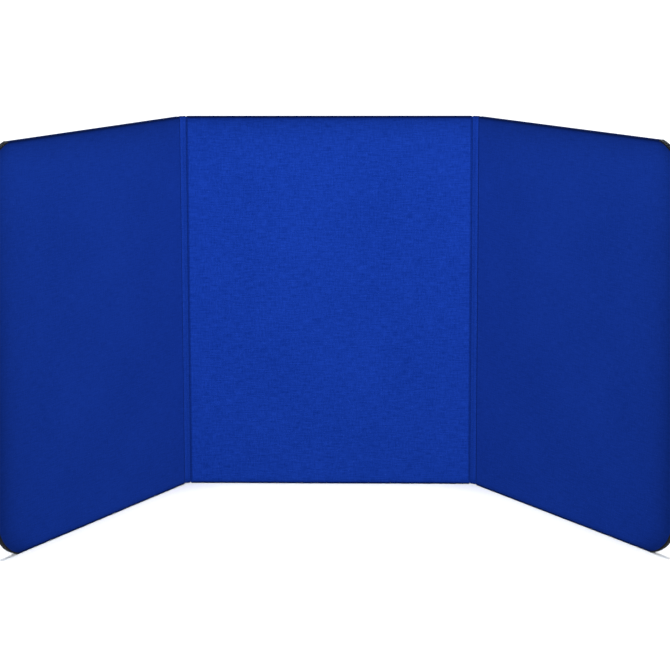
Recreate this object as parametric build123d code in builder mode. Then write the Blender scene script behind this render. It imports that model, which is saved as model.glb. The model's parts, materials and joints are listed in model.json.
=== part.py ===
from build123d import *
import math
import os

# Three-panel folding display partition: fabric-covered boards joined by
# full-height fabric hinges. The origin is on the floor under the middle of the
# centre panel, +X runs along that panel and the fronts face -Y.

# Boards
panel_height = 762.0
center_width = 578.0
wing_width = 578.0
board_thickness = 10.0
cover_thickness = 1.5
cover_edge_radius = 2.5

# Frame inside each board
stile_width = 32.0
rail_width = 32.0
corner_block_size = 84.0

# Clipped outer corners of the wings
corner_leg = 54.0
corner_radius = 80.0

# Edge trim: a T-moulding pressed into a kerf round the wing's outer edge
trim_head = 2.0
trim_barb_depth = 8.0
trim_barb_thickness = 1.6
kerf_end_clearance = 0.5

# Fabric hinges: a web whose two tabs sit in kerfs in the stiles
web_thickness = 1.5
web_tab_depth = 16.0
crease_offset = 1.5
crease_spacing = 13.0
crease_clearance = 0.3
left_fold_angle = 60.0
right_fold_angle = 55.0

# Staples
staple_crown = 9.0
staple_leg = 5.4
staple_wire = 0.9
corner_staple_spacing = 12.0
tab_staple_inset = 9.0
tab_staple_pitch = 76.0

# Worked out from the sizes above
frame_thickness = board_thickness - 2 * cover_thickness
half_height = panel_height / 2
frame_half_height = half_height - cover_thickness
wood_half_height = frame_half_height - rail_width
trim_side_width = wing_width - trim_head
corner_chord_half = corner_leg / math.sqrt(2)
corner_depth = math.sqrt((corner_radius**2 - corner_chord_half**2) / 2)
arc_center_u = wing_width - corner_leg / 2 - corner_depth
arc_center_v = half_height - corner_leg / 2 - corner_depth


def panel_plane(side, fold_angle, inner_edge):
    """Plane of a board, origin at its inner edge and half its height.

    Local x runs outwards from the centre panel and local z is normal to it,
    on the front side for the right-hand wing and on the back for the left.
    """
    fold = math.radians(fold_angle)
    return Plane(
        origin=(inner_edge[0], inner_edge[1], half_height),
        x_dir=(side * math.cos(fold), -math.sin(fold), 0),
        z_dir=(-math.sin(fold), -side * math.cos(fold), 0),
    )


def step_out(point, side, angle, distance):
    """Point at a distance from another, outwards at a fold angle."""
    fold = math.radians(angle)
    return (point[0] + side * distance * math.cos(fold), point[1] - distance * math.sin(fold))


def write_part(piece, name):
    piece.label = name
    export_step(piece, f"parts/{name}.step")


def wing_face(inset):
    """Sketch of a wing, drawn from its hinge edge, with clipped outer corners.

    The hinge, top and bottom edges move in by the inset. Heights are from mid-height.
    """
    bottom = half_height - inset
    arc_start = (arc_center_u + math.sqrt(corner_radius**2 - (bottom - arc_center_v) ** 2), -bottom)
    arc_end = (wing_width, corner_leg - half_height)
    arc_middle = (
        arc_center_u + corner_radius * math.cos(math.pi / 4),
        -arc_center_v - corner_radius * math.sin(math.pi / 4),
    )
    with BuildSketch() as face:
        with BuildLine():
            Line((inset, 0), (inset, -bottom))
            Line((inset, -bottom), arc_start)
            ThreePointArc(arc_start, arc_middle, arc_end)
            Line(arc_end, (wing_width, 0))
            mirror(about=Plane.XZ)
        make_face()
    return face.sketch


def edge_band(depth):
    """Sketch of the wing's margin along the outer edge and the clipped corners.

    It is cut square where the clipped corners start.
    """
    radius = corner_radius - depth
    outer = wing_width - depth
    straight_end = arc_center_v + math.sqrt(radius**2 - (outer - arc_center_u) ** 2)
    with BuildSketch() as inside:
        with Locations((arc_center_u, arc_center_v), (arc_center_u, -arc_center_v)):
            Circle(radius)
        with Locations((outer / 2, 0)):
            Rectangle(outer, 2 * straight_end)
            Rectangle(outer, panel_height, mode=Mode.INTERSECT)
    with BuildSketch() as band:
        add(wing_face(0))
        with Locations((wing_width, 0)):
            Rectangle(2 * corner_leg, panel_height, mode=Mode.INTERSECT)
        add(inside.sketch, mode=Mode.SUBTRACT)
    return band.sketch


def inside_trim(inset):
    """Sketch of the wing up to the back of the trim's head."""
    with BuildSketch() as face:
        add(wing_face(inset))
        add(edge_band(trim_head), mode=Mode.SUBTRACT)
    return face.sketch


def barb_face(depth):
    """Sketch of a band of this depth behind the trim's head, within the wood."""
    with BuildSketch() as band:
        add(inside_trim(cover_thickness))
        add(edge_band(trim_head + depth), mode=Mode.INTERSECT)
    return band.sketch


def center_face(inset):
    """Sketch of the centre panel, drawn from its own left edge."""
    with BuildSketch() as face:
        with Locations((center_width / 2, 0)):
            Rectangle(center_width - 2 * inset, panel_height - 2 * inset)
    return face.sketch


def framed_piece(plane, blank, left, right, bottom, top, cuts=()):
    """Piece of a board's frame or core: the part of the blank inside a box."""
    with BuildPart() as piece:
        with BuildSketch(plane.offset(-frame_thickness / 2)):
            add(blank)
            with Locations(((left + right) / 2, (bottom + top) / 2)):
                Rectangle(right - left, top - bottom, mode=Mode.INTERSECT)
        extrude(amount=frame_thickness)
        for cut in cuts:
            add(cut, mode=Mode.SUBTRACT)
    return piece.part


def staples(plane, back, spots):
    """Flush-driven staples; each spot is its x, y and crown direction."""
    crown_plane = plane.offset(back * (frame_thickness - staple_wire) / 2)
    leg_plane = plane.offset(back * frame_thickness / 2)
    leg_spacing = staple_crown - staple_wire
    with BuildPart() as group:
        for spot_x, spot_y, turn in spots:
            with BuildSketch(crown_plane):
                with Locations(Location((spot_x, spot_y, 0), turn)):
                    Rectangle(staple_crown, staple_wire)
            extrude(amount=staple_wire / 2, both=True)
            with BuildSketch(leg_plane):
                with Locations(Location((spot_x, spot_y, 0), turn)):
                    with GridLocations(leg_spacing, 1, 2, 1):
                        Rectangle(staple_wire, staple_wire)
            extrude(amount=-back * staple_leg)
    return group.part


def web_tab(plane, start, stop):
    """Tab of a hinge web, from the crease into the stile's kerf."""
    with BuildPart() as tab:
        with BuildSketch(plane.offset(-web_thickness / 2)):
            with Locations(((start + stop) / 2, 0)):
                Rectangle(stop - start, 2 * frame_half_height)
        extrude(amount=web_thickness)
    return tab.part


def cover(plane, outer, inner, face_side, hinge_edges, rounded_to):
    """Fabric cover of one face, wrapped round the frame's edges to mid-thickness.

    The edges of its face that lie between the hinge edge and rounded_to are round.
    """
    depth = face_side * board_thickness / 2
    slot_height = web_thickness / 2 + crease_clearance
    with BuildPart() as shell:
        with BuildSketch(plane):
            add(outer)
        extrude(amount=depth)
        face = shell.faces().sort_by(Axis(plane.origin, plane.z_dir * face_side))[-1]
        rim = [edge for edge in face.edges() if plane.to_local_coords(edge.center()).X < rounded_to]
        fillet(rim, cover_edge_radius)
        with BuildSketch(plane):
            add(inner)
        extrude(amount=face_side * frame_thickness / 2, mode=Mode.SUBTRACT)
        for edge in hinge_edges:
            with BuildSketch(plane):
                with Locations((edge, 0)):
                    Rectangle(2 * cover_thickness, 2 * frame_half_height)
            extrude(amount=face_side * slot_height, mode=Mode.SUBTRACT)
    return shell.part


def tab_staple_rows(edge, direction):
    """Spots of the staples that hold a web tab, beside a hinge edge."""
    count = 1 + math.floor((2 * frame_half_height - 2 * rail_width) / tab_staple_pitch)
    first = -(count - 1) * tab_staple_pitch / 2
    spot_x = edge + direction * (cover_thickness + tab_staple_inset)
    return [(spot_x, first + row * tab_staple_pitch, 90) for row in range(count)]


def rail_joint_spots(joint_x):
    """Spots of the staples across the joints of both rails at one end."""
    rail_middle = frame_half_height - rail_width / 2
    rows = (-corner_staple_spacing / 2, corner_staple_spacing / 2)
    return [(joint_x, end * rail_middle + row, 0) for end in (-1, 1) for row in rows]


os.makedirs("parts", exist_ok=True)

# ---------------------------------------------------------------- centre panel
center_plane = panel_plane(1, 0, (-center_width / 2, 0))
center_front = 1
center_blank = center_face(cover_thickness)
center_inner = cover_thickness + stile_width
center_tab_end = cover_thickness + web_tab_depth
center_tab_start = crease_clearance + web_thickness / 2 - crease_offset

center_tabs = {
    "left": web_tab(center_plane, center_tab_start, center_tab_end),
    "right": web_tab(center_plane, center_width - center_tab_end, center_width - center_tab_start),
}
center_tab_staples = {
    "left": staples(center_plane, -center_front, tab_staple_rows(0, 1)),
    "right": staples(center_plane, -center_front, tab_staple_rows(center_width, -1)),
}
center_corner_staples = staples(
    center_plane,
    -center_front,
    rail_joint_spots(center_inner) + rail_joint_spots(center_width - center_inner),
)
write_part(center_corner_staples, "center_corner_staples")

for side_name, stile_left in (("left", cover_thickness), ("right", center_width - center_inner)):
    tab = center_tabs[side_name]
    with BuildPart() as stapled_tab:
        add(tab)
        add(center_tab_staples[side_name], mode=Mode.SUBTRACT)
    write_part(stapled_tab.part, f"{side_name}_web_center_tab")
    write_part(center_tab_staples[side_name], f"{side_name}_center_tab_staples")
    stile = framed_piece(
        center_plane,
        center_blank,
        stile_left,
        stile_left + stile_width,
        -frame_half_height,
        frame_half_height,
        cuts=(tab, center_tab_staples[side_name], center_corner_staples),
    )
    write_part(stile, f"center_{side_name}_stile")

for rail_name, rail_bottom in (("top", wood_half_height), ("bottom", -frame_half_height)):
    rail = framed_piece(
        center_plane,
        center_blank,
        center_inner,
        center_width - center_inner,
        rail_bottom,
        rail_bottom + rail_width,
        cuts=(center_corner_staples,),
    )
    write_part(rail, f"center_{rail_name}_rail")

center_core = framed_piece(
    center_plane,
    center_blank,
    center_inner,
    center_width - center_inner,
    -wood_half_height,
    wood_half_height,
)
write_part(center_core, "center_core")

for face_name, face_side in (("front", center_front), ("back", -center_front)):
    center_cover = cover(
        center_plane,
        center_face(0),
        center_blank,
        face_side,
        hinge_edges=(0, center_width),
        rounded_to=center_width + cover_edge_radius,
    )
    write_part(center_cover, f"center_{face_name}_cover")


# ----------------------------------------------------------------------- wings
def build_wing(name, side, fold_angle):
    """One wing with its hinge strip, on the left (-1) or the right (1)."""
    inner_crease = (side * (center_width / 2 + crease_offset), 0)
    outer_crease = step_out(inner_crease, side, fold_angle / 2, crease_spacing)
    inner_edge = step_out(outer_crease, side, fold_angle, crease_offset)
    plane = panel_plane(side, fold_angle, inner_edge)
    front = side
    wood_outline = inside_trim(cover_thickness)
    stile_end = cover_thickness + stile_width
    outer_stile_start = trim_side_width - stile_width
    block_start = wing_width - corner_block_size
    block_bottom = half_height - corner_block_size
    kerf_depth = trim_barb_depth + kerf_end_clearance

    # Hinge strip between the two creases, with rounded edges at the creases
    strip_plane = panel_plane(side, fold_angle / 2, inner_crease)
    with BuildPart() as strip:
        with BuildSketch(Plane(strip_plane.origin, x_dir=strip_plane.x_dir, z_dir=(0, 0, 1))):
            with Locations((crease_spacing / 2, 0)):
                SlotCenterToCenter(crease_spacing, web_thickness)
        extrude(amount=half_height, both=True)
    write_part(strip.part, f"{name}_web_strip")

    # Wing tab of the hinge web and the staples through it
    tab = web_tab(plane, center_tab_start, center_tab_end)
    tab_staples = staples(plane, -front, tab_staple_rows(0, 1))
    with BuildPart() as stapled_tab:
        add(tab)
        add(tab_staples, mode=Mode.SUBTRACT)
    write_part(stapled_tab.part, f"{name}_web_wing_tab")
    write_part(tab_staples, f"{name}_wing_tab_staples")

    # Staples across the frame's joints
    block_rows = (-corner_staple_spacing / 2, corner_staple_spacing / 2)
    solid_middle = (outer_stile_start + trim_side_width - kerf_depth) / 2
    block_spots = [
        (solid_middle + row, end * block_bottom, 90) for end in (-1, 1) for row in block_rows
    ]
    corner_staples = staples(
        plane,
        -front,
        rail_joint_spots(stile_end) + rail_joint_spots(block_start) + block_spots,
    )
    write_part(corner_staples, f"{name}_corner_staples")

    # Edge trim: head along the outer edge, barb in the kerf
    with BuildPart() as trim:
        with BuildSketch(plane.offset(-board_thickness / 2)):
            add(edge_band(trim_head))
        extrude(amount=board_thickness)
        with BuildSketch(plane.offset(-trim_barb_thickness / 2)):
            add(barb_face(trim_barb_depth))
        extrude(amount=trim_barb_thickness)
    write_part(trim.part, f"{name}_edge_trim")

    with BuildPart() as kerf:
        with BuildSketch(plane.offset(-trim_barb_thickness / 2)):
            add(barb_face(kerf_depth))
        extrude(amount=trim_barb_thickness)

    # Frame: each piece is the wing's outline inside its own box
    frame_boxes = {
        "hinge_stile": (cover_thickness, stile_end, -frame_half_height, frame_half_height),
        "outer_stile": (outer_stile_start, trim_side_width, -block_bottom, block_bottom),
        "top_rail": (stile_end, block_start, wood_half_height, frame_half_height),
        "bottom_rail": (stile_end, block_start, -frame_half_height, -wood_half_height),
        "top_corner_block": (block_start, trim_side_width, block_bottom, frame_half_height),
        "bottom_corner_block": (block_start, trim_side_width, -frame_half_height, -block_bottom),
    }
    for piece_name, box in frame_boxes.items():
        piece = framed_piece(
            plane, wood_outline, *box, cuts=(tab, tab_staples, corner_staples, kerf.part)
        )
        write_part(piece, f"{name}_{piece_name}")

    # Core panel, notched round the corner blocks
    with BuildPart() as core:
        with BuildSketch(plane.offset(-frame_thickness / 2)):
            with Locations(((stile_end + outer_stile_start) / 2, 0)):
                Rectangle(outer_stile_start - stile_end, 2 * wood_half_height)
            with Locations((wing_width, half_height), (wing_width, -half_height)):
                Rectangle(2 * corner_block_size, 2 * corner_block_size, mode=Mode.SUBTRACT)
        extrude(amount=frame_thickness)
    write_part(core.part, f"{name}_core")

    # Covers, open along the trim
    for face_name, face_side in (("front", front), ("back", -front)):
        wing_cover = cover(
            plane,
            inside_trim(0),
            wood_outline,
            face_side,
            hinge_edges=(0,),
            rounded_to=wing_width - corner_leg - cover_edge_radius,
        )
        write_part(wing_cover, f"{name}_{face_name}_cover")

    return inner_crease, outer_crease


left_creases = build_wing("left", -1, left_fold_angle)
right_creases = build_wing("right", 1, right_fold_angle)

for name, creases in (("left", left_creases), ("right", right_creases)):
    for crease_name, crease in zip(("inner", "outer"), creases):
        print(f"{name} {crease_name} crease: x {crease[0]:.4f}, y {crease[1]:.4f}")
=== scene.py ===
import json
import math

import bmesh
import bpy
import numpy as np
from mathutils import Matrix, Vector, noise


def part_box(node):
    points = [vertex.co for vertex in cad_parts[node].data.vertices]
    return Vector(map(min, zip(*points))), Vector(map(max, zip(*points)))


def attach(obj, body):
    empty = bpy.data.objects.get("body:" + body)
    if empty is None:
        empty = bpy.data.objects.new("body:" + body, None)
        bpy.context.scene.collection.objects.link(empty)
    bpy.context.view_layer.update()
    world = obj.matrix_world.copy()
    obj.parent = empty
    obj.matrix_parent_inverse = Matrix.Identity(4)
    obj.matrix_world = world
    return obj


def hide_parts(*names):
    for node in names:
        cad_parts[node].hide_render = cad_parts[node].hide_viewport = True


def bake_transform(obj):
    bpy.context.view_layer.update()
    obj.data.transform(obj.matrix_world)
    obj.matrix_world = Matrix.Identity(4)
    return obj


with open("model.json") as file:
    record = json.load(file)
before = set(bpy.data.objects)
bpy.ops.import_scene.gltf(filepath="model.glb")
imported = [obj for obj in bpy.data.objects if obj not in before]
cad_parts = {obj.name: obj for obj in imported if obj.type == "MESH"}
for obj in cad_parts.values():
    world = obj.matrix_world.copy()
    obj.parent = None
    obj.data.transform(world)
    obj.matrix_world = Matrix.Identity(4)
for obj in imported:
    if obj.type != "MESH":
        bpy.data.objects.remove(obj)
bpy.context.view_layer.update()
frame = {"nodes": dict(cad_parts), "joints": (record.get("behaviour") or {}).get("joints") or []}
upward = Vector((0, 0, 1))


# node trees written as expressions

class Link:
    # an output socket of a shader or geometry tree; arithmetic on it adds Math nodes
    def __init__(self, tree, socket=None):
        self.tree = tree
        self.socket = socket

    def node(self, kind, settings=None, sockets=None, output=0):
        made = self.tree.nodes.new(kind)
        for name, value in (settings or {}).items():
            setattr(made, name, value)
        for name, value in (sockets or {}).items():
            if isinstance(value, Link):
                self.tree.links.new(value.socket, made.inputs[name])
            else:
                made.inputs[name].default_value = value
        return Link(self.tree, made.outputs[output] if made.outputs else None)

    def out(self, name):
        return Link(self.tree, self.socket.node.outputs[name])

    def maths(self, operation, *others):
        # this socket first, then whatever else the operation takes
        values = dict(enumerate((self, *others)))
        return self.node("ShaderNodeMath", {"operation": operation}, values)

    def __add__(self, other):
        return self.maths("ADD", other)

    def __sub__(self, other):
        return self.maths("SUBTRACT", other)

    def __rsub__(self, other):
        return self.node("ShaderNodeMath", {"operation": "SUBTRACT"}, {0: other, 1: self})

    def __mul__(self, other):
        return self.maths("MULTIPLY", other)

    def __truediv__(self, other):
        return self.maths("DIVIDE", other)

    def __pow__(self, other):
        return self.maths("POWER", other)

    __radd__ = __add__
    __rmul__ = __mul__

    def clamped(self, low=0.0, high=1.0):
        return self.maths("MAXIMUM", low).maths("MINIMUM", high)

    def above(self, low, sharpness):
        # 0 up to a level of the noise, then rising to 1
        return ((self - low) * sharpness).clamped()


def startMaterial(name, finish):
    material = bpy.data.materials.new(name)
    material.use_nodes = True
    material.node_tree.nodes.clear()
    start = Link(material.node_tree)
    shader = start.node("ShaderNodeBsdfPrincipled", {}, finish)
    start.node("ShaderNodeOutputMaterial", {}, {"Surface": shader})
    return material, start, shader.socket.node


def feed(start, shader, **links):
    for name, link in links.items():
        start.tree.links.new(link.socket, shader.inputs[name.replace("_", " ")])


def mixColor(start, factor, colorA, colorB):
    def full(color):
        return color if isinstance(color, Link) else (*color, 1.0)
    return start.node(
        "ShaderNodeMix", {"data_type": "RGBA"}, {0: factor, 6: full(colorA), 7: full(colorB)}, 2
    )


def cloudy(start, place, scales, detail=2.0, roughness=0.55):
    # noise stretched by its own scale along each axis
    scaled = start.node(
        "ShaderNodeVectorMath", {"operation": "MULTIPLY"}, {0: place, 1: scales}
    )
    return start.node(
        "ShaderNodeTexNoise", {},
        {"Vector": scaled, "Scale": 1.0, "Detail": detail, "Roughness": roughness},
    )


def bumped(start, look, height):
    return start.node(
        "ShaderNodeBump", {},
        {"Strength": look["reliefStrength"], "Distance": look["reliefDepth"], "Height": height},
    )


# finishes

clothLook = dict(
    deep=(0.0014, 0.0165, 0.168), bright=(0.0094, 0.0470, 0.372),
    # the dark navy colour on the next line is painted shade, laid along hems, rolled edges and tucks and
    # towards the top and outer edges; the two shares further down set how strongly
    wrapped=(0.0003, 0.0018, 0.020), lint=(0.030, 0.085, 0.460),
    roughness=0.92, shine=0.02, sheen=0.06, sheenRoughness=0.6, sheenTint=(0.12, 0.30, 0.95),
    threadPitch=0.0011, streakLength=0.023, streakWidth=0.0024,
    postThinning=0.8, postShortening=1.5, pileSize=0.0022, patchSize=0.16,
    streakShare=1.15, postShare=0.70, pileShare=0.95, patchShare=0.30, weaveShare=0.16,
    pileFollow=0.5, lintScale=(420.0, 520.0, 1.0), lintFrom=0.74, lintSharpness=4.0,
    edgeFade=0.42, wrapFade=0.95, reliefDepth=0.00026, reliefStrength=0.75,
    weaveRelief=0.55, pileRelief=0.6, streakRelief=0.35,
)


def makeCloth(name, look, streakGain=1.0):
    material, start, shader = startMaterial(name, {
        "Roughness": look["roughness"], "Specular IOR Level": look["shine"],
        "Sheen Weight": look["sheen"], "Sheen Roughness": look["sheenRoughness"],
        "Sheen Tint": (*look["sheenTint"], 1.0),
    })
    place = start.node("ShaderNodeUVMap", {"uv_map": "cloth"})
    split = start.node("ShaderNodeSeparateXYZ", {}, {0: place})
    turn = math.pi / look["threadPitch"]
    warp = (split.out("X") * turn).maths("SINE")
    weft = (split.out("Y") * turn).maths("SINE")
    weave = warp * weft * 0.5 + 0.5
    long, thin = 1 / look["streakLength"], 1 / look["streakWidth"]
    streaks = cloudy(start, place, (long, thin, 1.0), detail=3.0, roughness=0.6)
    posts = cloudy(start, place, (thin * look["postThinning"], long * look["postShortening"], 1.0))
    pile = cloudy(start, place, (1 / look["pileSize"],) * 3, roughness=0.7)
    patches = cloudy(start, place, (1 / look["patchSize"],) * 3)
    shares = (
        (streaks, look["streakShare"] * streakGain),
        (posts, look["postShare"] * streakGain),
        (pile, look["pileShare"] * streakGain ** look["pileFollow"]),
        (patches, look["patchShare"]),
        (weave, look["weaveShare"]),
    )
    shade = 0.5
    for part, share in shares:
        shade = shade + (part - 0.5) * share
    color = mixColor(start, shade.clamped(), look["deep"], look["bright"])
    specks = cloudy(start, place, look["lintScale"], detail=0.0)
    color = mixColor(start, specks.above(look["lintFrom"], look["lintSharpness"]), color, look["lint"])
    # painted shade from two mesh attributes: darker towards the top and outer edges, and dark along hems,
    # rolled edges and tucks
    wrap = start.node("ShaderNodeAttribute", {"attribute_name": "wrap"}, {}, "Fac")
    rim = start.node("ShaderNodeAttribute", {"attribute_name": "rim"}, {}, "Fac")
    color = mixColor(start, rim * look["edgeFade"], color, look["wrapped"])
    color = mixColor(start, wrap * look["wrapFade"], color, look["wrapped"])
    height = weave * look["weaveRelief"] + pile * look["pileRelief"] + streaks * look["streakRelief"]
    feed(start, shader, Base_Color=color, Normal=bumped(start, look, height))
    return material


threadLook = dict(
    color=(0.010, 0.060, 0.420), dark=(0.004, 0.026, 0.230), plies=900.0, twistStretch=0.4,
    roughness=0.6, shine=0.2, sheen=0.2, sheenTint=(0.2, 0.3, 0.9),
    reliefDepth=0.0001, reliefStrength=0.5,
)


def makeThread(name, look):
    material, start, shader = startMaterial(name, {
        "Roughness": look["roughness"], "Specular IOR Level": look["shine"],
        "Sheen Weight": look["sheen"], "Sheen Tint": (*look["sheenTint"], 1.0),
    })
    place = start.node("ShaderNodeTexCoord").out("Object")
    plies = look["plies"]
    twist = cloudy(start, place, (plies, plies, plies * look["twistStretch"]), detail=1.0)
    color = mixColor(start, twist, look["dark"], look["color"])
    feed(start, shader, Base_Color=color, Normal=bumped(start, look, twist))
    return material


trimLook = dict(
    lip=(0.0075, 0.0084, 0.0105), face=(0.0040, 0.0045, 0.0060), scuff=(0.11, 0.12, 0.13),
    shine=0.05, roughness=0.46, lineRoughness=0.12, grainRoughness=0.10, scuffRoughness=0.20,
    blendStart=0.0043, blendEnd=0.0050, lineScale=(14.0, 2600.0, 1.0),
    grainScale=(900.0, 900.0, 1.0), scuffScale=(60.0, 480.0, 1.0),
    scuffFrom=0.62, scuffSharpness=5.0, lipScuff=0.35, faceScuff=0.05,
    reliefDepth=0.00012, reliefStrength=0.35, lineRelief=0.6, grainRelief=0.5,
)


def makeTrim(name, look):
    # UV: along the moulding, then across it, with 0 at the middle of its outer face
    material, start, shader = startMaterial(name, {"Specular IOR Level": look["shine"]})
    place = start.node("ShaderNodeUVMap", {"uv_map": "run"})
    split = start.node("ShaderNodeSeparateXYZ", {}, {0: place})
    off = split.out("Y").maths("ABSOLUTE")
    side = ((off - look["blendStart"]) / (look["blendEnd"] - look["blendStart"])).clamped()
    lines = cloudy(start, place, look["lineScale"])
    grain = cloudy(start, place, look["grainScale"], detail=3.0, roughness=0.65)
    scuffs = cloudy(start, place, look["scuffScale"], detail=4.0, roughness=0.7)
    worn = scuffs.above(look["scuffFrom"], look["scuffSharpness"])
    # the lips are a little lighter than the outer face: black plastic with a faint painted highlight along
    # its lips
    color = mixColor(start, side, look["face"], look["lip"])
    color = mixColor(start, worn * side * look["lipScuff"], color, look["scuff"])
    color = mixColor(start, worn * look["faceScuff"], color, look["scuff"])
    roughness = (
        look["roughness"] + lines * look["lineRoughness"]
        + grain * look["grainRoughness"] + worn * look["scuffRoughness"]
    )
    height = lines * look["lineRelief"] + grain * look["grainRelief"]
    feed(start, shader, Base_Color=color, Roughness=roughness, Normal=bumped(start, look, height))
    return material


woodLook = dict(
    early=(0.62, 0.42, 0.235), late=(0.40, 0.225, 0.105), poreColor=(0.30, 0.17, 0.08),
    shine=0.25, roughness=0.62, fibreRoughness=0.2,
    ringWidth=0.0042, ringSkew=0.55, wander=0.0035, wanderGain=6.0,
    lateSharpness=3.0, ringShare=0.75, fibreShare=0.25,
    driftScale=(9.0, 9.0, 2.2), fibreScale=(1500.0, 1500.0, 26.0), poreScale=(900.0, 900.0, 40.0),
    poreFrom=0.66, poreSharpness=6.0, poreShare=0.5,
    reliefDepth=0.00025, reliefStrength=0.4, poreRelief=0.6, ringRelief=0.3,
)


def makeWood(name, look, grain):
    # the object's Z, or the rail's own direction, runs along the grain
    material, start, shader = startMaterial(name, {"Specular IOR Level": look["shine"]})
    turned = start.node(
        "ShaderNodeMapping", {},
        {
            "Vector": start.node("ShaderNodeTexCoord").out("Object"),
            "Rotation": Vector(grain).rotation_difference(upward).to_euler(),
        },
    )
    drift = cloudy(start, turned, look["driftScale"])
    split = start.node("ShaderNodeSeparateXYZ", {}, {0: turned})
    radius = (split.out("X") + split.out("Y") * look["ringSkew"]) / look["ringWidth"]
    rings = (radius + drift * (look["wander"] / look["ringWidth"] * look["wanderGain"])).maths("FRACT")
    fibres = cloudy(start, turned, look["fibreScale"], detail=3.0, roughness=0.6)
    pores = cloudy(start, turned, look["poreScale"], detail=1.0)
    pores = pores.above(look["poreFrom"], look["poreSharpness"])
    late = (rings ** look["lateSharpness"]) * look["ringShare"] + fibres * look["fibreShare"]
    color = mixColor(start, late, look["early"], look["late"])
    color = mixColor(start, pores * look["poreShare"], color, look["poreColor"])
    height = fibres - pores * look["poreRelief"] + rings * look["ringRelief"]
    roughness = look["roughness"] + fibres * look["fibreRoughness"]
    feed(start, shader, Base_Color=color, Roughness=roughness, Normal=bumped(start, look, height))
    return material


boardLook = dict(
    light=(0.50, 0.345, 0.195), dark=(0.31, 0.20, 0.105), fleck=(0.16, 0.095, 0.05),
    shine=0.15, roughness=0.80, pulpRoughness=0.15,
    flutePitch=0.0065, pulpScale=(700.0, 700.0, 260.0), pulpShare=0.8, fluteShare=0.15,
    fleckScale=(1400.0, 1400.0, 500.0), fleckFrom=0.68, fleckSharpness=7.0, fleckShare=0.5,
    reliefDepth=0.0002, reliefStrength=0.5, fluteRelief=0.5, pulpRelief=0.6,
)


def makeCoreBoard(name, look):
    material, start, shader = startMaterial(name, {"Specular IOR Level": look["shine"]})
    place = start.node("ShaderNodeTexCoord").out("Object")
    split = start.node("ShaderNodeSeparateXYZ", {}, {0: place})
    flutes = (split.out("Z") * (2 * math.pi / look["flutePitch"])).maths("SINE") * 0.5 + 0.5
    pulp = cloudy(start, place, look["pulpScale"], detail=4.0, roughness=0.7)
    flecks = cloudy(start, place, look["fleckScale"], detail=1.0)
    flecks = flecks.above(look["fleckFrom"], look["fleckSharpness"])
    tone = pulp * look["pulpShare"] + flutes * look["fluteShare"]
    color = mixColor(start, tone, look["light"], look["dark"])
    color = mixColor(start, flecks * look["fleckShare"], color, look["fleck"])
    height = flutes * look["fluteRelief"] + pulp * look["pulpRelief"]
    roughness = look["roughness"] + pulp * look["pulpRoughness"]
    feed(start, shader, Base_Color=color, Roughness=roughness, Normal=bumped(start, look, height))
    return material


stapleLook = dict(
    zinc=(0.62, 0.63, 0.65), tarnish=(0.36, 0.35, 0.34),
    drawnScale=(2200.0, 2200.0, 900.0), dullScale=(260.0, 260.0, 260.0),
    dullFrom=0.45, dullSharpness=3.0, roughness=0.26, drawnRoughness=0.12, dullRoughness=0.22,
    reliefDepth=0.00008, reliefStrength=0.3,
)


def makeStaple(name, look):
    material, start, shader = startMaterial(name, {"Metallic": 1.0})
    place = start.node("ShaderNodeTexCoord").out("Object")
    drawn = cloudy(start, place, look["drawnScale"], detail=3.0, roughness=0.6)
    dull = cloudy(start, place, look["dullScale"], detail=3.0, roughness=0.6)
    dull = dull.above(look["dullFrom"], look["dullSharpness"])
    color = mixColor(start, dull, look["zinc"], look["tarnish"])
    roughness = look["roughness"] + drawn * look["drawnRoughness"] + dull * look["dullRoughness"]
    feed(start, shader, Base_Color=color, Roughness=roughness, Normal=bumped(start, look, drawn))
    return material


wingStreakGain = 0.6
centerCloth = makeCloth("boardCloth", clothLook)
wingCloth = makeCloth("wingCloth", clothLook, wingStreakGain)
hingeLook = dict(clothLook, streakWidth=0.0022, patchSize=0.08)
hingeCloth = makeCloth("hingeCloth", hingeLook, wingStreakGain)
seamThread = makeThread("seamThread", threadLook)
trimPlastic = makeTrim("edgeMoulding", trimLook)
coreBoard = makeCoreBoard("coreBoard", boardLook)
stapleWire = makeStaple("stapleWire", stapleLook)
print("finishes made")


# where the boards stand, from the frame

joints = {joint["name"]: joint for joint in frame["joints"]}
centerLow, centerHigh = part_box("center_front_cover")
height = centerHigh.z - centerLow.z
halfThickness = -centerLow.y
centerWidth = centerHigh.x - centerLow.x
innerLow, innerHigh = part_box("center_core")
frameHalf = (innerHigh.y - innerLow.y) / 2
coverThickness = halfThickness - frameHalf


def axesMatrix(origin, *axes):
    # columns: where each of the three local axes points, then the origin
    matrix = Matrix.Identity(4)
    for column, vector in enumerate((*axes, origin)):
        matrix.col[column][:3] = vector
    return matrix


class Board:
    # a board seen in its own axes: u from its inner edge, v up, w out of its front
    def __init__(self, name, body, side, origin, fold, width):
        self.name, self.body, self.side, self.fold, self.width = name, body, side, fold, width
        self.origin = Vector(origin)
        self.along = Vector((side * math.cos(fold), -math.sin(fold), 0))
        self.front = Vector((-side * math.sin(fold), -math.cos(fold), 0))

    def matrix(self, face=1):
        return axesMatrix(self.origin, self.along, upward, self.front * face)


def makeWingBoard(name, side):
    inner = Vector(joints[name + "_inner_crease"]["pos_m"])
    outer = Vector(joints[name + "_outer_crease"]["pos_m"])
    step = outer - inner
    fold = 2 * math.atan2(-step.y, abs(step.x))
    edgeGap = abs(inner.x) - centerWidth / 2
    along = Vector((side * math.cos(fold), -math.sin(fold), 0))
    low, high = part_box(name + "_edge_trim")
    reach = max(abs(low.x), abs(high.x))
    origin = outer + along * edgeGap
    width = (reach - abs(origin.x) - halfThickness * math.sin(fold)) / math.cos(fold)
    board = Board(name, name + "_wing", side, origin, fold, width)
    board.cornerLeg = (high.x - low.x - 2 * halfThickness * math.sin(fold)) / math.cos(fold)
    board.inner, board.outer = inner, outer
    return board


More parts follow.
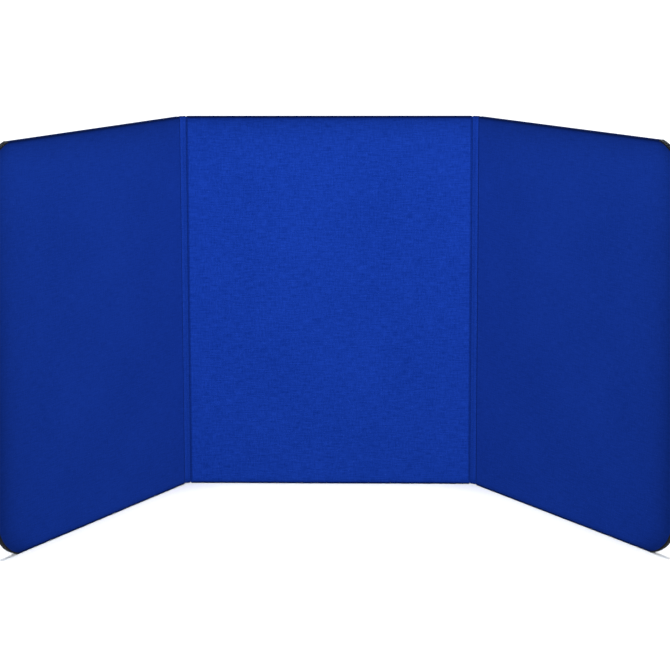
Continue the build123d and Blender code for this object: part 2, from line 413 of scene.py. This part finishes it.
center = Board("center", "center_panel", 1, (-centerWidth / 2, 0, 0), 0.0, centerWidth)
center.cornerLeg = 0.0
wings = [makeWingBoard("left", -1), makeWingBoard("right", 1)]
for wing in wings:
    print(wing.name, "wing: width %.4f, fold %.2f, clipped corner %.4f" % (
        wing.width, math.degrees(wing.fold), wing.cornerLeg))


def placed(name, data):
    made = bpy.data.objects.new(name, data)
    bpy.context.scene.collection.objects.link(made)
    return made


def moved(mesh, matrix):
    # a mirrored matrix turns the faces inside out, so they are turned back
    mesh.transform(matrix)
    if matrix.determinant() < 0:
        mesh.flip_normals()


def toObject(name, vertices, faces, material, matrix=None, uvName=None, uvs=None, values=None):
    # a mesh object whose place is in its mesh
    mesh = bpy.data.meshes.new(name)
    mesh.from_pydata([tuple(v) for v in vertices], [], faces)
    if uvs is not None:
        layer = mesh.uv_layers.new(name=uvName)
        indices = np.zeros(len(mesh.loops), np.int32)
        mesh.loops.foreach_get("vertex_index", indices)
        layer.data.foreach_set("uv", np.asarray(uvs, np.float32)[indices].ravel())
    for key, data in (values or {}).items():
        attribute = mesh.attributes.new(key, "FLOAT", "POINT")
        attribute.data.foreach_set("value", np.asarray(data, np.float32))
    if matrix is not None:
        moved(mesh, matrix)
    mesh.materials.append(material)
    return placed(name, mesh)


def smoothed(piece, degrees=48):
    piece.data.shade_smooth()
    piece.data.set_sharp_from_angle(angle=math.radians(degrees))


# the hinge web's sizes, which the covers need for the slot that it enters

webShape = dict(
    halfThickness=0.00075, pinch=0.00058, frontBulge=0.0009, backBulge=0.0008,
    tabDepth=0.016, rowStep=0.004, columnStep=0.00055, coarseStep=0.002, bendReach=0.0014,
    hemDrop=0.0015, hemStart=0.0006, hemReach=0.005, hemRows=5, hemPull=0.6, hemRate=3,
    swellStart=0.0012, pucker=0.00012, puckerPitch=0.0065, puckerPhase=1.7,
    driftUp=16, driftAcross=30, driftFace=5, driftSide=3.1, driftShare=0.16,
    # painted shade: a dark line along the web's ends and the whole strip a little darker
    hemShade=0.95, hemFade=0.0035, rimShade=0.12, clothShift=0.05, smoothAngle=60,
)


# cloth covers: one soft pan of cloth for each face of each board

coverShape = dict(
    trimHead=0.002, cornerRadius=0.080, edgeRadius=0.0025, hingeReach=0.0056, hingeDrop=0.0033,
    tuckRadius=0.0008, tuckRings=5, rollSteps=5, cornerSteps=4, lipDepth=0.0014, lipEase=0.00012,
    cell=0.011, endCells=[0.0012, 0.003, 0.006, 0.011], edgeSink=0.00032, sinkReach=0.007,
    waviness=0.00016, waveLength=0.19, waveOffset=0.4, calmReach=0.03, boardSeed=7.3, faceSeed=31.0,
    seamGap=0.00005, webGap=0.0003, seamTuck=0.0005,
    # painted shade: the cloth darker towards the top and outer edges, and along hems, rolled edges and
    # tucks
    rimFade=0.055, topRate=2.2, outerRate=1.8, outerShade=1.35,
    hemShade=0.92, hemWidth=0.0022, tuckShade=0.35,
)


def spacedRows(length, cell, ends):
    # even cells with a few short ones at both ends
    inner = np.linspace(ends[-1], length - ends[-1], max(2, round((length - 2 * ends[-1]) / cell)))
    return np.concatenate([[0.0], ends[:-1], inner, length - np.array(ends[:-1])[::-1], [length]])


def cornerCentre(board, radius):
    # the middle of the arc that clips the board's upper outer corner
    leg = board.cornerLeg
    depth = math.sqrt((radius ** 2 - leg ** 2 / 2) / 2)
    return board.width - leg / 2 - depth, height - leg / 2 - depth


def outerReach(board, shape, rows, inset):
    # how far the board's outline runs at each height, this far inside it
    limit = np.full(len(rows), board.width - inset)
    if not board.cornerLeg:
        return limit
    radius = shape["cornerRadius"]
    centreU, centreV = cornerCentre(board, radius)
    far = np.maximum(rows, height - rows) - centreV
    arc = centreU + np.sqrt(np.maximum((radius - inset) ** 2 - np.maximum(far, 0) ** 2, 0))
    start = board.width - board.cornerLeg - max(inset - shape["trimHead"], 0)
    return np.where(far > 0, np.minimum(limit, np.maximum(arc, start)), limit)


def quarterTurn(shape, out, drop):
    steps = [math.pi / 2 * k / shape["rollSteps"] for k in range(1, shape["rollSteps"] + 1)]
    return [(out * math.sin(a), halfThickness - drop + drop * math.cos(a)) for a in steps]


def wrapProfile(shape, roll, drop, endDepth):
    # distance out from the face's rim, and depth, of each ring round a wrapped edge
    rings = quarterTurn(shape, roll, drop)
    lip = endDepth + shape["seamTuck"]
    rings += [
        (roll, max(lip, shape["lipDepth"])),
        (roll - shape["lipEase"], lip),
        (roll - shape["seamTuck"], endDepth),
    ]
    wall = roll - coverThickness
    return rings + [(wall, endDepth), (wall, frameHalf)]


def tuckProfile(shape):
    # the same number of rings where the cloth tucks in behind the moulding
    roll = shape["tuckRadius"]
    rings = quarterTurn(shape, roll, roll)
    downs = np.linspace(halfThickness - roll, frameHalf, shape["tuckRings"])[1:]
    return rings + [(roll, float(d)) for d in downs] + [(roll / 2, frameHalf)]


def makeCover(board, face, shape):
    wingBoard = board.cornerLeg > 0
    cell, fine = shape["cell"], shape["endCells"]
    rows = shape["edgeRadius"] + spacedRows(height - 2 * shape["edgeRadius"], cell, fine)
    outerInset = shape["trimHead"] + shape["tuckRadius"] if wingBoard else shape["hingeReach"]
    reach = outerReach(board, shape, rows, outerInset)
    columns = spacedRows(1.0, cell / board.width, [x / board.width for x in fine])
    start = shape["hingeReach"]
    countU, countV = len(columns), len(rows)
    u = start + columns[None, :] * (reach[:, None] - start)
    v = np.repeat(rows[:, None], countU, 1)

    # the face sinks a little towards its rim and waves faintly between
    toSides = np.minimum(u - start, reach[:, None] - u)
    toEnds = np.minimum(v - rows[0], rows[-1] - v)
    edge = np.minimum(toSides, toEnds)
    number = 1 + ["center", "left", "right"].index(board.name)
    seed = shape["boardSeed"] * number + shape["faceSeed"] * face
    wave = np.array([
        noise.noise(Vector((a / shape["waveLength"] + seed, b / shape["waveLength"], seed)))
        for a, b in zip(u.ravel(), v.ravel())
    ]).reshape(u.shape)
    calm = np.clip(edge / shape["calmReach"], 0, 1)
    w = halfThickness - shape["edgeSink"] * np.exp(-edge / shape["sinkReach"])
    w = w + shape["waviness"] * (wave - shape["waveOffset"]) * calm
    w[[0, -1], :] = halfThickness
    w[:, [0, -1]] = halfThickness
    # painted shade: the cloth is painted darker towards the top edge of every board and the outer edge of
    # each wing
    fade = shape["rimFade"]
    rim = np.exp(-np.maximum(height - v, 0) / fade * shape["topRate"])
    if wingBoard:
        toOuter = np.maximum(reach[:, None] - u, 0)
        rim = np.maximum(rim, shape["outerShade"] * np.exp(-toOuter / fade * shape["outerRate"]))
    rim = np.clip(rim, 0, 1)

    vertices = list(zip(u.ravel(), v.ravel(), w.ravel()))
    uvs = [(a, b) for a, b, _ in vertices]
    # painted shade: a dark line along the top and bottom hems
    paintedWrapValue = list((shape["hemShade"] * np.exp(-toEnds / shape["hemWidth"])).ravel())
    paintedRimValue = list(rim.ravel())

    def at(row, column):
        return row * countU + column

    faces = [
        (at(r, c), at(r, c + 1), at(r + 1, c + 1), at(r + 1, c))
        for r in range(countV - 1) for c in range(countU - 1)
    ]
    # painted shade: the hidden inner layer is painted fully dark
    innerStart = len(vertices)
    for a, b, _ in list(vertices):
        vertices.append((a, b, frameHalf))
        uvs.append((a, b))
        paintedWrapValue.append(1.0)
        paintedRimValue.append(0.0)
    faces += [tuple(innerStart + i for i in reversed(f)) for f in list(faces)]

    # rim columns in order round the face: base vertex, direction out, profile
    slotEnd = webShape["halfThickness"] + shape["webGap"]
    seam = wrapProfile(shape, shape["edgeRadius"], shape["edgeRadius"], shape["seamGap"])
    slot = wrapProfile(shape, shape["hingeReach"], shape["hingeDrop"], slotEnd)
    outerProfile = tuckProfile(shape) if wingBoard else slot
    rimColumns = []

    def addColumn(vertex, normal, profile):
        normal = Vector(normal).normalized()
        rings = [(normal * out, depth) for out, depth in profile]
        rimColumns.append((vertex, rings, profile is seam))

    def addCorner(vertex, first, second, profiles):
        # an oval corner between two edges whose cloth turns over by different amounts
        for k in range(1, shape["cornerSteps"]):
            turn = k / shape["cornerSteps"] * math.pi / 2
            shareA, shareB = math.cos(turn), math.sin(turn)
            rings = []
            for (outA, depthA), (outB, depthB) in zip(*profiles):
                out = Vector(first) * (outA * shareA) + Vector(second) * (outB * shareB)
                rings.append((out, depthA * shareA ** 2 + depthB * shareB ** 2))
            rimColumns.append((vertex, rings, True))

    down, right, up, left = (0, -1), (1, 0), (0, 1), (-1, 0)
    for c in range(countU):
        addColumn(at(0, c), down, seam)
    if not wingBoard:
        addCorner(at(0, countU - 1), down, right, (seam, outerProfile))
    slope = np.gradient(reach, rows) if wingBoard else np.zeros(countV)
    for r in range(countV):
        if wingBoard and r in (0, countV - 1):
            normal = right
        else:
            normal = (1.0, -float(slope[r]))
        addColumn(at(r, countU - 1), normal, outerProfile)
    if not wingBoard:
        addCorner(at(countV - 1, countU - 1), right, up, (outerProfile, seam))
    for c in reversed(range(countU)):
        addColumn(at(countV - 1, c), up, seam)
    addCorner(at(countV - 1, 0), up, left, (seam, slot))
    for r in reversed(range(countV)):
        addColumn(at(r, 0), left, slot)
    addCorner(at(0, 0), left, down, (slot, seam))

    ringCount = len(seam)
    columnStart = len(vertices)
    for vertex, rings, hemmed in rimColumns:
        base = vertices[vertex]
        away = rings[0][0].normalized()
        travelled, last = 0.0, (0.0, halfThickness)
        for out, depth in rings:
            travelled += math.hypot(out.length - last[0], depth - last[1])
            last = (out.length, depth)
            vertices.append((base[0] + out[0], base[1] + out[1], depth))
            uvs.append((base[0] + away[0] * travelled, base[1] + away[1] * travelled))
            # painted shade: rolled edges and corners fully dark, the tucks behind the moulding and into
            # the hinge slot partly dark
            paintedWrapValue.append(1.0 if hemmed else shape["tuckShade"])
            paintedRimValue.append(paintedRimValue[vertex])
    total = len(rimColumns)
    for k in range(total):
        following = (k + 1) % total
        a0, b0 = rimColumns[k][0], rimColumns[following][0]
        a, b = columnStart + k * ringCount, columnStart + following * ringCount
        chainA = [a0] + list(range(a, a + ringCount)) + [innerStart + a0]
        chainB = [b0] + list(range(b, b + ringCount)) + [innerStart + b0]
        for step in range(len(chainA) - 1):
            quad = (chainA[step], chainA[step + 1], chainB[step + 1], chainB[step])
            unique = list(dict.fromkeys(quad))
            if len(unique) > 2:
                faces.append(tuple(unique))
    name = board.name + ("_front" if face > 0 else "_back")
    cloth = wingCloth if wingBoard else centerCloth
    cover = toObject(
        name + "_cloth", vertices, faces, cloth, board.matrix(face), "cloth", uvs,
        {"wrap": paintedWrapValue, "rim": paintedRimValue},
    )
    smoothed(cover)
    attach(cover, board.body)
    node = name + "_cover"
    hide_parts(node)
    board.width + halfThickness * 2


for board in [center, *wings]:
    for face in (1, -1):
        makeCover(board, face, coverShape)
print("cloth covers made")


# hinges: each web is two halves that meet on the middle of its strip

def webPath(startDir, turnDir, crease, tabStart, stripEnd, reach):
    # plan points and directions from inside a board, round the crease, to mid-strip
    turn = math.atan2(startDir.cross(turnDir).z, startDir.dot(turnDir))
    radius = reach / math.tan(abs(turn) / 2)
    steps = []
    t = -tabStart
    while t < stripEnd - 1e-9:
        steps.append(t)
        t += webShape["columnStep"] if -2 * reach < t < stripEnd else webShape["coarseStep"]
    steps.append(stripEnd)
    points = []
    for t in steps:
        if t <= -reach:
            points.append((t, crease + startDir * t, startDir))
        elif t >= reach:
            points.append((t, crease + turnDir * t, turnDir))
        else:
            angle = turn * (t + reach) / (2 * reach)
            sign = 1 if turn > 0 else -1
            toCentre = Matrix.Rotation(sign * math.pi / 2, 3, "Z") @ startDir
            centre = crease - startDir * reach + toCentre * radius
            spoke = Matrix.Rotation(angle, 3, "Z") @ (-toCentre * radius)
            points.append((t, centre + spoke, Matrix.Rotation(angle, 3, "Z") @ startDir))
    return points


def swellAt(distance, stripHalf):
    # how far up the strip this is from its crease, and how much of the bulge it has there
    first = webShape["swellStart"]
    share = min(1.0, max(0.0, (distance - first) / (stripHalf - first)))
    return share, share * share * (3 - 2 * share)


def makeWebHalf(wing, half, shape):
    stripDir = (wing.outer - wing.inner).normalized()
    stripHalf = (wing.outer - wing.inner).length / 2
    gap = abs(wing.inner.x) - centerWidth / 2
    if half == "inner":
        crease, startDir, turnDir, board = wing.inner, Vector((wing.side, 0, 0)), stripDir, center
    else:
        crease, startDir, turnDir, board = wing.outer, -wing.along, -stripDir, wing
    path = webPath(startDir, turnDir, crease, gap + shape["tabDepth"], stripHalf, shape["bendReach"])
    boardFront = center.front if half == "inner" else wing.front
    rowCount = round(height / shape["rowStep"])
    rows = np.linspace(0, 1, rowCount + 1)
    ends = shape["hemReach"] / height
    hemRows = np.linspace(0, ends, shape["hemRows"])
    rows = np.unique(np.concatenate([rows, hemRows, 1 - hemRows]))
    vertices, uvs, paintedWrapValue = [], [], []
    columns = len(path)
    for surface in (1, -1):
        for row in rows:
            for t, point, direction in path:
                normal = Vector((direction.y, -direction.x, 0))
                if normal.dot(boardFront) < 0:
                    normal = -normal
                inset = shape["hemDrop"] * min(1.0, max(0.0, (-t - shape["hemStart"]) / shape["hemStart"]))
                z = inset + row * (height - 2 * inset)
                toHem = min(z, height - z)
                full = 1 - math.exp(-toHem / shape["hemReach"] * shape["hemRate"]) * shape["hemPull"]
                share, swell = swellAt(t, stripHalf)
                bulge = shape["frontBulge"] if surface > 0 else shape["backBulge"]
                phase = shape["puckerPhase"] * surface
                ripple = math.sin(2 * math.pi * z / shape["puckerPitch"] + phase)
                drift = noise.noise(Vector((
                    z * shape["driftUp"],
                    t * shape["driftAcross"] + shape["driftFace"] * surface,
                    wing.side * shape["driftSide"],
                )))
                thick = shape["pinch"] if t < 0 else shape["halfThickness"]
                thick += swell * bulge * full * (1 + shape["driftShare"] * drift)
                thick += shape["pucker"] * ripple * 4 * share * (1 - share)
                place = point + normal * (surface * thick)
                vertices.append((place.x, place.y, z))
                uvs.append((t + (shape["clothShift"] if half == "outer" else 0.0), z))
                # painted shade: a dark line along both ends of the web
                paintedWrapValue.append(shape["hemShade"] * math.exp(-toHem / shape["hemFade"]))
    size = len(rows) * columns
    sense = 1 if Vector((path[0][2].y, -path[0][2].x, 0)).dot(boardFront) > 0 else -1

    def at(surface, row, column):
        return surface * size + row * columns + column

    faces = []
    for row in range(len(rows) - 1):
        for c in range(columns - 1):
            frontQuad = (at(0, row, c), at(0, row, c + 1), at(0, row + 1, c + 1), at(0, row + 1, c))
            backQuad = (at(1, row, c), at(1, row + 1, c), at(1, row + 1, c + 1), at(1, row, c + 1))
            faces += [frontQuad, backQuad]
        for c, flip in ((0, True), (columns - 1, False)):
            cap = (at(0, row, c), at(1, row, c), at(1, row + 1, c), at(0, row + 1, c))
            faces.append(tuple(reversed(cap)) if flip else cap)
    last = len(rows) - 1
    for c in range(columns - 1):
        faces.append((at(0, 0, c), at(1, 0, c), at(1, 0, c + 1), at(0, 0, c + 1)))
        faces.append((at(0, last, c), at(0, last, c + 1), at(1, last, c + 1), at(1, last, c)))
    if sense < 0:
        faces = [tuple(reversed(f)) for f in faces]
    # painted shade: the whole strip a little darker
    web = toObject(
        f"{wing.name}_web_{half}", vertices, faces, hingeCloth, None, "cloth", uvs,
        {"wrap": paintedWrapValue, "rim": [shape["rimShade"]] * len(vertices)},
    )
    smoothed(web, shape["smoothAngle"])
    crease - startDir * shape["bendReach"]
    crease + turnDir * shape["bendReach"]
    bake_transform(web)
    if half == "inner":
        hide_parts(f"{wing.name}_web_center_tab", f"{wing.name}_web_strip")
    else:
        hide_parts(f"{wing.name}_web_wing_tab")


stitchShape = dict(
    fromCrease=0.0029, pitch=0.0046, length=0.0033, threadRadius=0.00021, endClear=0.006,
    dip=1.6, crown=1.5, lean=0.07, archSteps=6, threadSides=6, seed=11, faceSeed=5,
)


def stitchTree(material, shape):
    tree = bpy.data.node_groups.new("stitchRow", "GeometryNodeTree")
    tree.interface.new_socket("Geometry", in_out="INPUT", socket_type="NodeSocketGeometry")
    for name, key in (("Pitch", "pitch"), ("Length", "length"), ("Thread Radius", "threadRadius")):
        made = tree.interface.new_socket(name, in_out="INPUT", socket_type="NodeSocketFloat")
        made.default_value = shape[key]
    tree.interface.new_socket("Seed", in_out="INPUT", socket_type="NodeSocketInt")
    tree.interface.new_socket("Geometry", in_out="OUTPUT", socket_type="NodeSocketGeometry")
    start = Link(tree)
    given = start.node("NodeGroupInput")
    row = start.node("GeometryNodeMeshToCurve", {}, {0: given})
    spots = start.node(
        "GeometryNodeCurveToPoints", {"mode": "LENGTH"}, {"Curve": row, "Length": given.out("Pitch")}
    )
    dip = given.out("Thread Radius") * -shape["dip"]
    reachBack = given.out("Length") * -0.5
    ends = [
        start.node("ShaderNodeCombineXYZ", {}, {"X": dip, "Z": reachBack}),
        start.node("ShaderNodeCombineXYZ", {}, {"X": given.out("Thread Radius") * shape["crown"]}),
        start.node("ShaderNodeCombineXYZ", {}, {"X": dip, "Z": reachBack * -1.0}),
    ]
    arch = start.node(
        "GeometryNodeCurveQuadraticBezier", {},
        {"Resolution": shape["archSteps"], "Start": ends[0], "Middle": ends[1], "End": ends[2]},
    )
    section = start.node(
        "GeometryNodeCurvePrimitiveCircle", {},
        {"Resolution": shape["threadSides"], "Radius": given.out("Thread Radius")},
    )
    thread = start.node(
        "GeometryNodeCurveToMesh", {}, {"Curve": arch, "Profile Curve": section, "Fill Caps": True}
    )
    lean = start.node(
        "FunctionNodeRandomValue", {"data_type": "FLOAT"},
        {2: -shape["lean"], 3: shape["lean"], "Seed": given.out("Seed")}, 1,
    )
    turn = start.node("ShaderNodeCombineXYZ", {}, {"X": lean})
    stitched = start.node(
        "GeometryNodeInstanceOnPoints", {}, {"Points": spots, "Instance": thread, "Rotation": turn}
    )
    real = start.node("GeometryNodeRealizeInstances", {}, {0: stitched})
    smooth = start.node("GeometryNodeSetShadeSmooth", {}, {0: real})
    finished = start.node("GeometryNodeSetMaterial", {}, {"Geometry": smooth, "Material": material})
    start.node("NodeGroupOutput", {}, {0: finished})
    return tree


def grown(name, vertices, edges, tree, values, matrix):
    # runs a geometry tree on a guide line and keeps only the finished mesh
    guide = bpy.data.meshes.new(name + "_guide")
    guide.from_pydata([tuple(v) for v in vertices], edges, [])
    holder = placed(name + "_guide", guide)
    modifier = holder.modifiers.new("grow", "NODES")
    modifier.node_group = tree
    for item in tree.interface.items_tree:
        if item.item_type == "SOCKET" and item.in_out == "INPUT" and item.name in values:
            modifier[item.identifier] = values[item.name]
    graph = bpy.context.evaluated_depsgraph_get()
    mesh = bpy.data.meshes.new_from_object(holder.evaluated_get(graph))
    bpy.data.objects.remove(holder)
    mesh.name = name
    moved(mesh, matrix)
    return placed(name, mesh)


stitching = stitchTree(seamThread, stitchShape)


def makeStitches(wing, shape):
    # rows up the strip beside both creases, on both of its sides
    stripDir = (wing.outer - wing.inner).normalized()
    front = Vector((stripDir.y, -stripDir.x, 0)) * (1 if wing.side > 0 else -1)
    if front.y > 0:
        front = -front
    stripLength = (wing.outer - wing.inner).length
    rowsMade = []
    for surface in (1, -1):
        for number, distance in enumerate((shape["fromCrease"], stripLength - shape["fromCrease"])):
            swell = swellAt(shape["fromCrease"], stripLength / 2)[1]
            bulge = webShape["frontBulge"] if surface > 0 else webShape["backBulge"]
            proud = webShape["halfThickness"] + swell * bulge
            foot = wing.inner + stripDir * distance + front * (surface * proud)
            low, high = shape["endClear"], height - shape["endClear"]
            rowsMade.append(grown(
                f"stitches{number}{surface}", [(0, 0, low), (0, 0, high)], [(0, 1)], stitching,
                {
                    "Pitch": shape["pitch"], "Length": shape["length"],
                    "Thread Radius": shape["threadRadius"],
                    "Seed": shape["seed"] + number + shape["faceSeed"] * surface,
                },
                axesMatrix(foot, front * surface, stripDir, upward),
            ))
    return joined(rowsMade, wing.name + "_hinge_stitches")


def joined(pieces, name):
    mesh = bpy.data.meshes.new(name)
    build = bmesh.new()
    for piece in pieces:
        build.from_mesh(piece.data)
    build.to_mesh(mesh)
    build.free()
    for material in pieces[0].data.materials:
        mesh.materials.append(material)
    for piece in pieces:
        bpy.data.objects.remove(piece)
    return placed(name, mesh)


for wing in wings:
    for half in ("inner", "outer"):
        makeWebHalf(wing, half, webShape)
    stitches = makeStitches(wing, stitchShape)
    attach(stitches, wing.name + "_hinge")
print("hinges sewn")


# edge moulding: a T section swept round each wing's outer edge

mouldingShape = dict(
    headDepth=0.0020, lipBack=0.0007, headWidth=0.0106, fillet=0.0009, crown=0.00035,
    tongueDepth=0.0080, tongueWidth=0.0016, arcSteps=24, straightSteps=30,
    sectionCuts=7, filletSteps=5, smoothAngle=40,
)
mouldingInputs = {
    "Head Depth": "headDepth", "Lip Back": "lipBack", "Head Width": "headWidth", "Fillet": "fillet",
    "Crown": "crown", "Tongue Depth": "tongueDepth", "Tongue Width": "tongueWidth",
}


def mouldingTree(material, shape):
    tree = bpy.data.node_groups.new("edgeMouldingSweep", "GeometryNodeTree")
    tree.interface.new_socket("Geometry", in_out="INPUT", socket_type="NodeSocketGeometry")
    for name in mouldingInputs:
        tree.interface.new_socket(name, in_out="INPUT", socket_type="NodeSocketFloat")
    tree.interface.new_socket("Geometry", in_out="OUTPUT", socket_type="NodeSocketGeometry")
    start = Link(tree)
    given = start.node("NodeGroupInput")
    path = start.node("GeometryNodeMeshToCurve", {}, {0: given})
    path = start.node("GeometryNodeSetCurveNormal", {"mode": "Z_UP"}, {0: path})
    along = start.node("GeometryNodeSplineParameter").out("Length")
    path = start.node(
        "GeometryNodeStoreNamedAttribute", {"data_type": "FLOAT", "domain": "POINT"},
        {"Geometry": path, "Name": "run_along", "Value": along},
    )
    headReach = given.out("Head Depth") + given.out("Lip Back")
    head = start.node(
        "GeometryNodeCurvePrimitiveQuadrilateral", {"mode": "RECTANGLE"},
        {"Width": headReach, "Height": given.out("Head Width")},
    )
    head = start.node("GeometryNodeSubdivideCurve", {}, {"Curve": head, "Cuts": shape["sectionCuts"]})
    head = start.node(
        "GeometryNodeFilletCurve", {"mode": "POLY"},
        {
            "Curve": head, "Count": shape["filletSteps"],
            "Radius": given.out("Fillet"), "Limit Radius": True,
        },
    )
    spot = start.node("ShaderNodeSeparateXYZ", {}, {0: start.node("GeometryNodeInputPosition")})
    level = spot.out("Y") / (given.out("Head Width") * 0.5)
    outside = (spot.out("X") / (headReach * 0.5)).clamped()
    shift = (1 - level * level) * given.out("Crown") * outside
    middle = (given.out("Head Depth") - given.out("Lip Back")) * 0.5
    offset = start.node("ShaderNodeCombineXYZ", {}, {"X": shift + middle})
    head = start.node("GeometryNodeSetPosition", {}, {"Geometry": head, "Offset": offset})
    tongue = start.node(
        "GeometryNodeCurvePrimitiveQuadrilateral", {"mode": "RECTANGLE"},
        {"Width": given.out("Tongue Depth"), "Height": given.out("Tongue Width")},
    )
    inward = start.node("ShaderNodeCombineXYZ", {}, {"X": given.out("Tongue Depth") * -0.5})
    tongue = start.node("GeometryNodeSetPosition", {}, {"Geometry": tongue, "Offset": inward})
    swept = []
    for profile in (head, tongue):
        level = start.node("ShaderNodeSeparateXYZ", {}, {0: start.node("GeometryNodeInputPosition")})
        marked = start.node(
            "GeometryNodeStoreNamedAttribute", {"data_type": "FLOAT", "domain": "POINT"},
            {"Geometry": profile, "Name": "run_across", "Value": level.out("Y")},
        )
        swept.append(start.node(
            "GeometryNodeCurveToMesh", {}, {"Curve": path, "Profile Curve": marked, "Fill Caps": True}
        ))
    both = start.node("GeometryNodeJoinGeometry")
    for piece in swept:
        tree.links.new(piece.socket, both.socket.node.inputs[0])
    named = [
        start.node("GeometryNodeInputNamedAttribute", {"data_type": "FLOAT"}, {"Name": name})
        for name in ("run_along", "run_across")
    ]
    place = start.node("ShaderNodeCombineXYZ", {}, {"X": named[0], "Y": named[1]})
    mapped = start.node(
        "GeometryNodeStoreNamedAttribute", {"data_type": "FLOAT2", "domain": "CORNER"},
        {"Geometry": both, "Name": "run", "Value": place},
    )
    real = start.node("GeometryNodeRealizeInstances", {}, {0: mapped})
    finished = start.node("GeometryNodeSetMaterial", {}, {"Geometry": real, "Material": material})
    start.node("NodeGroupOutput", {}, {0: finished})
    return tree


mouldingSweep = mouldingTree(trimPlastic, mouldingShape)


def makeMoulding(wing, shape):
    # the guide runs along the back of the head, from the lower clipped corner to the upper
    radius = coverShape["cornerRadius"]
    centreU, centreV = cornerCentre(wing, radius)
    back = radius - shape["headDepth"]
    outer = wing.width - shape["headDepth"]
    straightAngle = math.acos((outer - centreU) / back)
    endAngle = math.acos((wing.width - wing.cornerLeg - centreU) / radius)
    angles = np.linspace(endAngle, straightAngle, shape["arcSteps"])
    arc = [(centreU + back * math.cos(a), centreV + back * math.sin(a)) for a in angles]
    levels = np.linspace(arc[-1][1], height - arc[-1][1], shape["straightSteps"])[1:-1]
    upper = arc + [(outer, float(level)) for level in levels]
    points = upper + [(a, height - b) for a, b in reversed(arc)]
    points = [(a, b, 0.0) for a, b in reversed(points)]
    edges = [(k, k + 1) for k in range(len(points) - 1)]
    moulding = grown(
        wing.name + "_moulding", points, edges, mouldingSweep,
        {name: shape[key] for name, key in mouldingInputs.items()}, wing.matrix(),
    )
    smoothed(moulding, shape["smoothAngle"])
    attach(moulding, wing.body)
    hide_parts(wing.name + "_edge_trim")


for wing in wings:
    makeMoulding(wing, mouldingShape)
print("mouldings swept")


# frames, cores and staples keep their CAD shape and get their finish

uprightWood = makeWood("uprightWood", woodLook, upward)
railWood = {
    board.name: makeWood(board.name + "RailWood", woodLook, board.along) for board in [center, *wings]
}


def finishFor(name):
    if "staples" in name:
        return stapleWire
    if name.endswith("_core"):
        return coreBoard
    if "stile" in name:
        return uprightWood
    if "rail" in name or "block" in name:
        return railWood[name.split("_")[0]]
    return None


for name, node in frame["nodes"].items():
    finish = finishFor(name)
    if finish:
        node.data.materials.clear()
        node.data.materials.append(finish)
print("inner pieces dressed")


# floor, light and camera

stageLook = dict(
    floorSize=90.0, floorDrop=0.0004, floorColor=(0.84, 0.84, 0.84), floorRoughness=0.9,
    worldColor=(0.74, 0.87, 1.06), worldStrength=0.34,
)


def makeFloor(look):
    half = look["floorSize"] / 2
    material = startMaterial("paleFloor", {
        "Base Color": (*look["floorColor"], 1.0),
        "Roughness": look["floorRoughness"], "Specular IOR Level": 0.0,
    })[0]
    floor = toObject(
        "floor", [(-half, -half, 0), (half, -half, 0), (half, half, 0), (-half, half, 0)],
        [(0, 1, 2, 3)], material, Matrix.Translation((0, 0, -look["floorDrop"])),
    )
    floor.visible_diffuse = False   # keeps its glow off the boards, as a far backdrop would


lampLook = dict(
    power=32.0, width=2.0, depth=1.4, place=(0.4, -6.4, 3.2), target=(0.0, 0.0, 1.02), spread=40.0,
)
backLampLook = dict(
    power=30.0, width=3.0, depth=2.0, place=(0.0, 5.6, 3.4), target=(0.0, 0.0, 0.6), spread=70.0,
)
overheadLook = dict(strength=3.8, softness=20.0)


def makeLamp(name, look):
    light = bpy.data.lights.new(name, "AREA")
    light.shape = "RECTANGLE"
    light.size, light.size_y = look["width"], look["depth"]
    light.energy = look["power"]
    light.spread = math.radians(look["spread"])
    lamp = placed(name, light)
    lamp.location = look["place"]
    aim = Vector(look["target"]) - Vector(look["place"])
    lamp.rotation_euler = aim.to_track_quat("-Z", "Y").to_euler()


def makeOverhead(name, look):
    # even light from straight above, which whitens the floor and barely touches the boards
    light = bpy.data.lights.new(name, "SUN")
    light.energy = look["strength"]
    light.angle = math.radians(look["softness"])
    placed(name, light)


def makeWorld(look):
    world = bpy.data.worlds.new("paleStudio")
    world.use_nodes = True
    world.node_tree.nodes.clear()
    start = Link(world.node_tree)
    sky = start.node(
        "ShaderNodeBackground", {},
        {"Color": (*look["worldColor"], 1.0), "Strength": look["worldStrength"]},
    )
    start.node("ShaderNodeOutputWorld", {}, {"Surface": sky})
    bpy.context.scene.world = world


cameraLook = dict(
    lens=103.76, sensorWidth=36.0, shiftY=-0.20,
    place=(0.0974, -3.8696, 1.1424), pitch=8.14, yaw=1.27, roll=-0.146,
)


def makeCamera(look):
    data = bpy.data.cameras.new("camera")
    data.lens = look["lens"]
    data.sensor_width = look["sensorWidth"]
    data.shift_y = look["shiftY"]
    camera = placed("camera", data)
    camera.location = look["place"]
    turn = Matrix.Rotation(math.radians(look["yaw"]), 4, "Z")
    tilt = Matrix.Rotation(math.radians(90 - look["pitch"]), 4, "X")
    roll = Matrix.Rotation(math.radians(look["roll"]), 4, "Z")
    camera.rotation_euler = (turn @ tilt @ roll).to_euler()
    bpy.context.scene.camera = camera


makeFloor(stageLook)
makeWorld(stageLook)
makeLamp("frontLamp", lampLook)
makeLamp("backLamp", backLampLook)
makeOverhead("overheadLight", overheadLook)
makeCamera(cameraLook)
bpy.context.scene.view_settings.view_transform = "Standard"
print("stage set")
